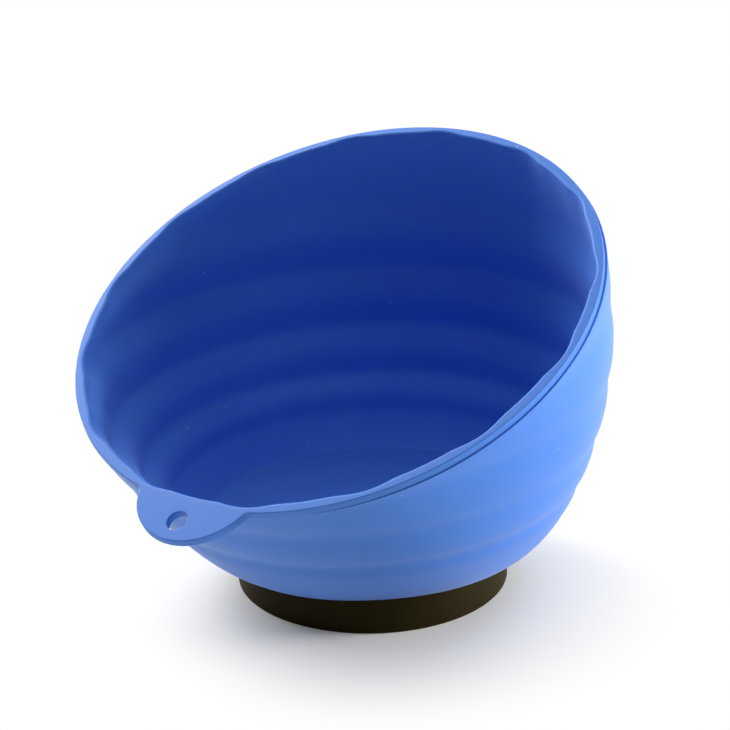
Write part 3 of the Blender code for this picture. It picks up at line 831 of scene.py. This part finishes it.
def add_group(nodes, group, place, inputs):
    """A shared group's node with its own values, reading a position."""
    node = nodes.add("ShaderNodeGroup", inputs, node_tree=group)
    nodes.join(place, node.inputs["Position"])
    return node


def grain_group():
    """Fine grain of a surface: two noises that vary the roughness and raise the skin.

    Roughness = base + spread (coarse - 1/2). Height = fine noise + about a third of the coarse one.
    Cloud is the coarse noise itself.
    """
    group = bpy.data.node_groups.get("surface_grain")
    if group is not None:
        return group
    group, nodes, start, end = new_group(
        "surface_grain", {"Fine Scale": 900.0, "Coarse Scale": 60.0, "Base": 0.4, "Spread": 0.1},
        ("Roughness", "Height", "Cloud"))
    fine = nodes.add("ShaderNodeTexNoise", {"Detail": 2})
    coarse = nodes.add("ShaderNodeTexNoise", {"Detail": 4})
    for noise, scale in ((fine, "Fine Scale"), (coarse, "Coarse Scale")):
        nodes.join(start["Position"], noise.inputs["Vector"])
        nodes.join(start[scale], noise.inputs["Scale"])
    centred = nodes.math('SUBTRACT', coarse.outputs[0], 0.5)
    change = nodes.math('MULTIPLY', centred, start["Spread"])
    nodes.join(nodes.math('ADD', start["Base"], change), end["Roughness"])
    third = nodes.math('MULTIPLY', coarse.outputs[0], 0.33)
    nodes.join(nodes.math('ADD', fine.outputs[0], third), end["Height"])
    nodes.join(coarse.outputs[0], end["Cloud"])
    return group


def speck_group():
    """Sparse specks: 1 inside small cells' centres whose random value passes the share, else 0."""
    group = bpy.data.node_groups.get("dust_specks")
    if group is not None:
        return group
    group, nodes, start, end = new_group(
        "dust_specks", {"Scale": 300.0, "Size": 0.12, "Share": 0.05}, ("Mask",))
    cells = nodes.add("ShaderNodeTexVoronoi")
    nodes.join(start["Position"], cells.inputs["Vector"])
    nodes.join(start["Scale"], cells.inputs["Scale"])
    near = nodes.math('LESS_THAN', cells.outputs["Distance"], start["Size"])
    split = nodes.add("ShaderNodeSeparateColor")
    nodes.join(cells.outputs["Color"], split.inputs[0])
    chosen = nodes.math('LESS_THAN', split.outputs[0], start["Share"])
    nodes.join(nodes.math('MULTIPLY', near, chosen), end["Mask"])
    return group


def new_material(name, inputs):
    """Material with a Principled shader, values on its inputs, and the object's own coordinates."""
    old = bpy.data.materials.get(name)
    if old is not None:
        bpy.data.materials.remove(old)
    made = bpy.data.materials.new(name)
    made.use_nodes = True
    nodes = Nodes(made.node_tree)
    place = nodes.add("ShaderNodeTexCoord").outputs["Object"]
    shader = nodes.add("ShaderNodeBsdfPrincipled", inputs)
    output = nodes.add("ShaderNodeOutputMaterial")
    nodes.join(shader.outputs[0], output.inputs[0])
    return made, nodes, place, shader


def add_grain(nodes, place, shader, fine, coarse, base, spread, bump, depth):
    """Grain from the shared group on a shader's roughness and normal. Gives back its cloud."""
    values = {"Fine Scale": fine, "Coarse Scale": coarse, "Base": base, "Spread": spread}
    grain = add_group(nodes, grain_group(), place, values)
    nodes.join(grain.outputs["Roughness"], shader.inputs["Roughness"])
    raised = nodes.add("ShaderNodeBump", {"Strength": bump, "Distance": depth})
    nodes.join(grain.outputs["Height"], raised.inputs["Height"])
    nodes.join(raised.outputs[0], shader.inputs["Normal"])
    return grain.outputs["Cloud"]


def toned(nodes, cloud, colour, dark, light):
    """Output that goes by the cloud from a darker to a lighter multiple of a colour."""
    low, high = (tuple(min(1.0, value * factor) for value in colour) for factor in (dark, light))
    return nodes.mix_colours(cloud, low, high)


def plastic_material(look):
    """Blue moulded plastic with a satin skin and a few pale specks of dust."""
    made, nodes, place, shader = new_material(
        "blue_plastic", {"Specular IOR Level": 0.09, "Sheen Weight": 0.12, "Sheen Roughness": 0.35})
    cloud = add_grain(nodes, place, shader, fine=1400, coarse=45, base=look.roughness, spread=0.10,
                      bump=0.12, depth=0.00006)
    tone = toned(nodes, cloud, look.colour, dark=0.94, light=1.06)
    specks = add_group(nodes, speck_group(), place, {"Scale": 300, "Size": 0.08, "Share": 0.04})
    dusty = nodes.mix_colours(specks.outputs["Mask"], tone, DUST_COLOUR)
    nodes.join(dusty, shader.inputs["Base Color"])
    return made


def rubber_material(look):
    """Matt black rubber with a warm tone."""
    made, nodes, place, shader = new_material("black_rubber", {"Specular IOR Level": 0.06})
    cloud = add_grain(nodes, place, shader, fine=1800, coarse=120, base=0.56, spread=0.16,
                      bump=0.25, depth=0.00008)
    tone = toned(nodes, cloud, look.rubber_colour, dark=0.85, light=1.2)
    nodes.join(tone, shader.inputs["Base Color"])
    return made


def ferrite_material(look):
    """Dark sintered ferrite, faintly clouded."""
    made, nodes, place, shader = new_material("ferrite", {})
    cloud = add_grain(nodes, place, shader, fine=2600, coarse=300, base=0.62, spread=0.2,
                      bump=0.3, depth=0.00005)
    tone = toned(nodes, cloud, look.ferrite_colour, dark=0.7, light=1.4)
    nodes.join(tone, shader.inputs["Base Color"])
    return made


def steel_material(name, colour, roughness):
    """Steel with fine rolling marks along one direction."""
    made, nodes, place, shader = new_material(name, {"Metallic": 1.0})
    stretch = nodes.add("ShaderNodeMapping", {"Scale": ROLLING_STRETCH})
    nodes.join(place, stretch.inputs["Vector"])
    cloud = add_grain(nodes, stretch.outputs[0], shader, fine=700, coarse=90, base=roughness,
                      spread=0.15, bump=0.15, depth=0.00003)
    nodes.join(toned(nodes, cloud, colour, dark=0.88, light=1.1), shader.inputs["Base Color"])
    return made


def dress_node(node, material):
    """Give a carried-over node its material."""
    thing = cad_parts[node]
    thing.data.materials.clear()
    thing.data.materials.append(material)


# Camera

FOCAL_PIXELS = 1424.18
IMAGE_PIXELS = 730
CAMERA_DISTANCE = 0.4369
CAMERA_ELEVATION = radians(26.06)
CAMERA_ROLL = -0.0222  # radians
CAMERA_AZIMUTH = radians(32.5)
FOOT_PIXEL = (372.763, 568.966)  # where the foot's centre is seen
SENSOR_WIDTH = 36  # millimetres
NEAREST = 0.01
FARTHEST = 20


def camera_matrix():
    """Place and turn of the camera that sees the foot's centre at its own pixel of the picture."""
    place = Vector((0, -cos(CAMERA_ELEVATION), sin(CAMERA_ELEVATION))) * CAMERA_DISTANCE
    ahead = -place.normalized()
    right = Vector((1, 0, 0))
    up = right.cross(ahead)
    rolled_right = right * cos(CAMERA_ROLL) + up * sin(CAMERA_ROLL)
    rolled_up = up * cos(CAMERA_ROLL) - right * sin(CAMERA_ROLL)
    half = IMAGE_PIXELS / 2
    sight = Vector(((FOOT_PIXEL[0] - half) / FOCAL_PIXELS,
                    (half - FOOT_PIXEL[1]) / FOCAL_PIXELS, 1))
    pan = Vector((0, 0, 1)).rotation_difference(sight.normalized()).to_matrix()
    seen = pan @ Matrix((rolled_right, rolled_up, ahead))
    turned = Matrix((seen[0], seen[1], -seen[2])).transposed().to_4x4()
    turned.translation = place
    return Matrix.Rotation(CAMERA_AZIMUTH, 4, 'Z') @ turned


def add_camera():
    """Make the photograph's camera the scene's own."""
    camera = bpy.data.cameras.new("camera")
    camera.sensor_width = SENSOR_WIDTH
    camera.lens = SENSOR_WIDTH * FOCAL_PIXELS / IMAGE_PIXELS
    camera.clip_start = NEAREST
    camera.clip_end = FARTHEST
    thing = bpy.data.objects.new("camera", camera)
    thing.matrix_world = camera_matrix()
    bpy.context.scene.collection.objects.link(thing)
    bpy.context.scene.camera = thing


# Stage

# Square soft boxes: degrees to the right from the camera's side, degrees of rise, width and watts
LAMPS = {
    "top": (0, 88, 0.9, 0.4),
    "top_front": (0, 68, 0.8, 0.6),
    "front_right": (45, 42, 0.7, 1.0),
    "top_left_back": (225, 68, 0.8, 1.2),
    "top_left": (270, 68, 0.8, 2.2),
    "right_back": (135, 42, 0.7, 4.0),
    "left_back": (225, 42, 0.7, 14.0),
    "right_low": (90, 11, 0.4, 17.0),
    "left_back_low": (225, 11, 0.4, 7.0),
}
LAMP_DISTANCE = 1.1
LAMP_AIM = Vector((0, 0, 0.05))
STAGE_RADIUS = 3.0
STAGE_INNERMOST = 0.05  # share under the square that sets the floor's innermost ring
STAGE_RINGS = 12
STAGE_COLUMNS = 96
STAGE_ROUGHNESS = 0.9
LIFT_COLOUR = (1.0, 0.97, 0.80, 1)
WHITE = (1, 1, 1, 1)


def add_lamp(name, turn, rise, width, power):
    """Square soft box round the bowl, aimed at its middle."""
    lamp = bpy.data.lights.new(name, 'AREA')
    lamp.size = width
    lamp.energy = power
    thing = bpy.data.objects.new(name, lamp)
    azimuth = CAMERA_AZIMUTH + radians(turn)
    level = cos(radians(rise))
    away = Vector((sin(azimuth) * level, -cos(azimuth) * level, sin(radians(rise))))
    thing.location = LAMP_AIM + away * LAMP_DISTANCE
    thing.rotation_euler = away.to_track_quat('Z', 'Y').to_euler()
    bpy.context.scene.collection.objects.link(thing)


def seen_directly(nodes):
    """1 on camera, glossy and transmission rays, else 0."""
    path = nodes.add("ShaderNodeLightPath")
    either = nodes.math('MAXIMUM', path.outputs["Is Camera Ray"], path.outputs["Is Glossy Ray"])
    return nodes.math('MAXIMUM', either, path.outputs["Is Transmission Ray"])


def floor_material(look):
    """White floor that keeps the shadow round the foot and fades to plain white away from it.

    The shaded floor is lifted by a little warm white. Plain white takes over with the smooth step
    of the distance from the foot. Both are there for camera, glossy and transmission rays only.
    """
    made, nodes, place, shader = new_material(
        "white_floor", {"Base Color": (*look.floor_colour, 1), "Roughness": STAGE_ROUGHNESS,
                        "Specular IOR Level": 0.0})
    output = made.node_tree.get_output_node('ALL').inputs["Surface"]
    distance = nodes.add("ShaderNodeVectorMath", operation='LENGTH')
    nodes.join(place, distance.inputs[0])
    fade = nodes.add("ShaderNodeMapRange", {"From Min": look.white_from, "From Max": look.white_by},
                     interpolation_type='SMOOTHSTEP')
    nodes.join(distance.outputs["Value"], fade.inputs["Value"])
    seen = seen_directly(nodes)
    lift = nodes.add("ShaderNodeEmission", {"Color": LIFT_COLOUR, "Strength": look.floor_lift})
    lifted = nodes.add("ShaderNodeAddShader")
    nodes.join(shader.outputs[0], lifted.inputs[0])
    nodes.join(nodes.mix_shaders(seen, None, lift.outputs[0]), lifted.inputs[1])
    white = nodes.add("ShaderNodeEmission", {"Color": WHITE, "Strength": 1.0})
    share = nodes.math('MULTIPLY', fade.outputs["Result"], seen)
    nodes.join(nodes.mix_shaders(share, lifted.outputs[0], white.outputs[0]), output)
    return made


def add_floor(look):
    """Round floor: rings of radius R t^2, so that its faces are small under the bowl."""
    azimuth = np.arange(STAGE_COLUMNS) * 2 * pi / STAGE_COLUMNS
    radii = STAGE_RADIUS * np.linspace(STAGE_INNERMOST, 1, STAGE_RINGS) ** 2
    circles = [level_circle(radius, 0, azimuth) for radius in radii]
    points = np.concatenate([*circles, [[0, 0, 0]]])
    quads = grid_faces(STAGE_RINGS, STAGE_COLUMNS)[..., ::-1].reshape(-1, 4)
    mesh = new_mesh("floor", points, quads, fan(0, STAGE_COLUMNS, len(points) - 1, True))
    mesh.materials.append(floor_material(look))
    floor = bpy.data.objects.new("floor", mesh)
    bpy.context.scene.collection.objects.link(floor)


def add_sky(look):
    """Even light from all round, and plain white where the camera or gloss sees past the floor."""
    world = bpy.data.worlds.new("studio")
    world.use_nodes = True
    bpy.context.scene.world = world
    nodes = Nodes(world.node_tree)
    light, plain = (nodes.add("ShaderNodeBackground", {"Color": WHITE, "Strength": strength})
                    for strength in (look.sky_strength, 1.0))
    sky = nodes.mix_shaders(seen_directly(nodes), light.outputs[0], plain.outputs[0])
    nodes.join(sky, nodes.add("ShaderNodeOutputWorld").inputs[0])


# Operators

class PARTS_BOWL_OT_moulding(bpy.types.Operator):
    """Make the plastic bowl with its lip, tab and rings"""

    bl_idname = "parts_bowl.moulding"
    bl_label = "Bowl moulding"
    bl_options = {'REGISTER', 'UNDO'}

    def execute(self, context):
        look = context.scene.parts_bowl_bowl
        mesh = new_mesh("bowl_moulding", *bowl_surface(look))
        new_piece("bowl_moulding", mesh, plastic_material(look), "bowl")
        return {'FINISHED'}


class PARTS_BOWL_OT_boot(bpy.types.Operator):
    """Make the rubber boot that the bowl stands on"""

    bl_idname = "parts_bowl.boot"
    bl_label = "Rubber boot"
    bl_options = {'REGISTER', 'UNDO'}

    def execute(self, context):
        look = context.scene.parts_bowl_foot
        surface = turned_surface(boot_profile(look.edge_radius), BOOT_COLUMNS)
        mesh = new_mesh("rubber_boot", *surface)
        new_piece("rubber_boot", mesh, rubber_material(look), "base_boot")
        return {'FINISHED'}


class PARTS_BOWL_OT_inside(bpy.types.Operator):
    """Give the magnet, plate, washer and screw their materials"""

    bl_idname = "parts_bowl.inside"
    bl_label = "Magnet and fastening"
    bl_options = {'REGISTER', 'UNDO'}

    def execute(self, context):
        look = context.scene.parts_bowl_foot
        zinc = steel_material("zinc_steel", look.zinc_colour, ZINC_ROUGHNESS)
        dress_node("ring_magnet", ferrite_material(look))
        dress_node("pole_plate", steel_material("plate_steel", look.steel_colour, PLATE_ROUGHNESS))
        dress_node("clamp_washer", zinc)
        dress_node("centre_screw", zinc)
        return {'FINISHED'}


class PARTS_BOWL_OT_stage(bpy.types.Operator):
    """Set up the floor, lights, background and camera"""

    bl_idname = "parts_bowl.stage"
    bl_label = "Stage"
    bl_options = {'REGISTER', 'UNDO'}

    def execute(self, context):
        look = context.scene.parts_bowl_stage
        context.scene.view_settings.view_transform = 'Standard'
        add_camera()
        add_floor(look)
        add_sky(look)
        for name, (turn, rise, width, power) in LAMPS.items():
            add_lamp(name, turn, rise, width, power * look.lamp_power)
        return {'FINISHED'}


class PARTS_BOWL_PT_panel(bpy.types.Panel):
    """Settings and steps of the parts bowl"""

    bl_idname = "PARTS_BOWL_PT_panel"
    bl_label = "Parts Bowl"
    bl_space_type = 'VIEW_3D'
    bl_region_type = 'UI'
    bl_category = "Parts Bowl"

    def draw(self, context):
        groups = ((context.scene.parts_bowl_bowl, ("parts_bowl.moulding",)),
                  (context.scene.parts_bowl_foot, ("parts_bowl.boot", "parts_bowl.inside")),
                  (context.scene.parts_bowl_stage, ("parts_bowl.stage",)))
        for look, steps in groups:
            box = self.layout.box()
            for name in look.bl_rna.properties.keys():
                if name not in {"name", "rna_type"}:
                    box.prop(look, name)
            for step in steps:
                box.operator(step)


CLASSES = (BowlSettings, FootSettings, StageSettings, PARTS_BOWL_OT_moulding, PARTS_BOWL_OT_boot,
           PARTS_BOWL_OT_inside, PARTS_BOWL_OT_stage, PARTS_BOWL_PT_panel)


def register():
    for made in CLASSES:
        bpy.utils.register_class(made)
    bpy.types.Scene.parts_bowl_bowl = PointerProperty(type=BowlSettings)
    bpy.types.Scene.parts_bowl_foot = PointerProperty(type=FootSettings)
    bpy.types.Scene.parts_bowl_stage = PointerProperty(type=StageSettings)


def unregister():
    del bpy.types.Scene.parts_bowl_stage
    del bpy.types.Scene.parts_bowl_foot
    del bpy.types.Scene.parts_bowl_bowl
    for made in reversed(CLASSES):
        bpy.utils.unregister_class(made)


def main():
    """Make everything in order."""
    register()
    bpy.ops.parts_bowl.moulding()
    bpy.ops.parts_bowl.boot()
    bpy.ops.parts_bowl.inside()
    bpy.ops.parts_bowl.stage()


if __name__ == "__main__":
    main()
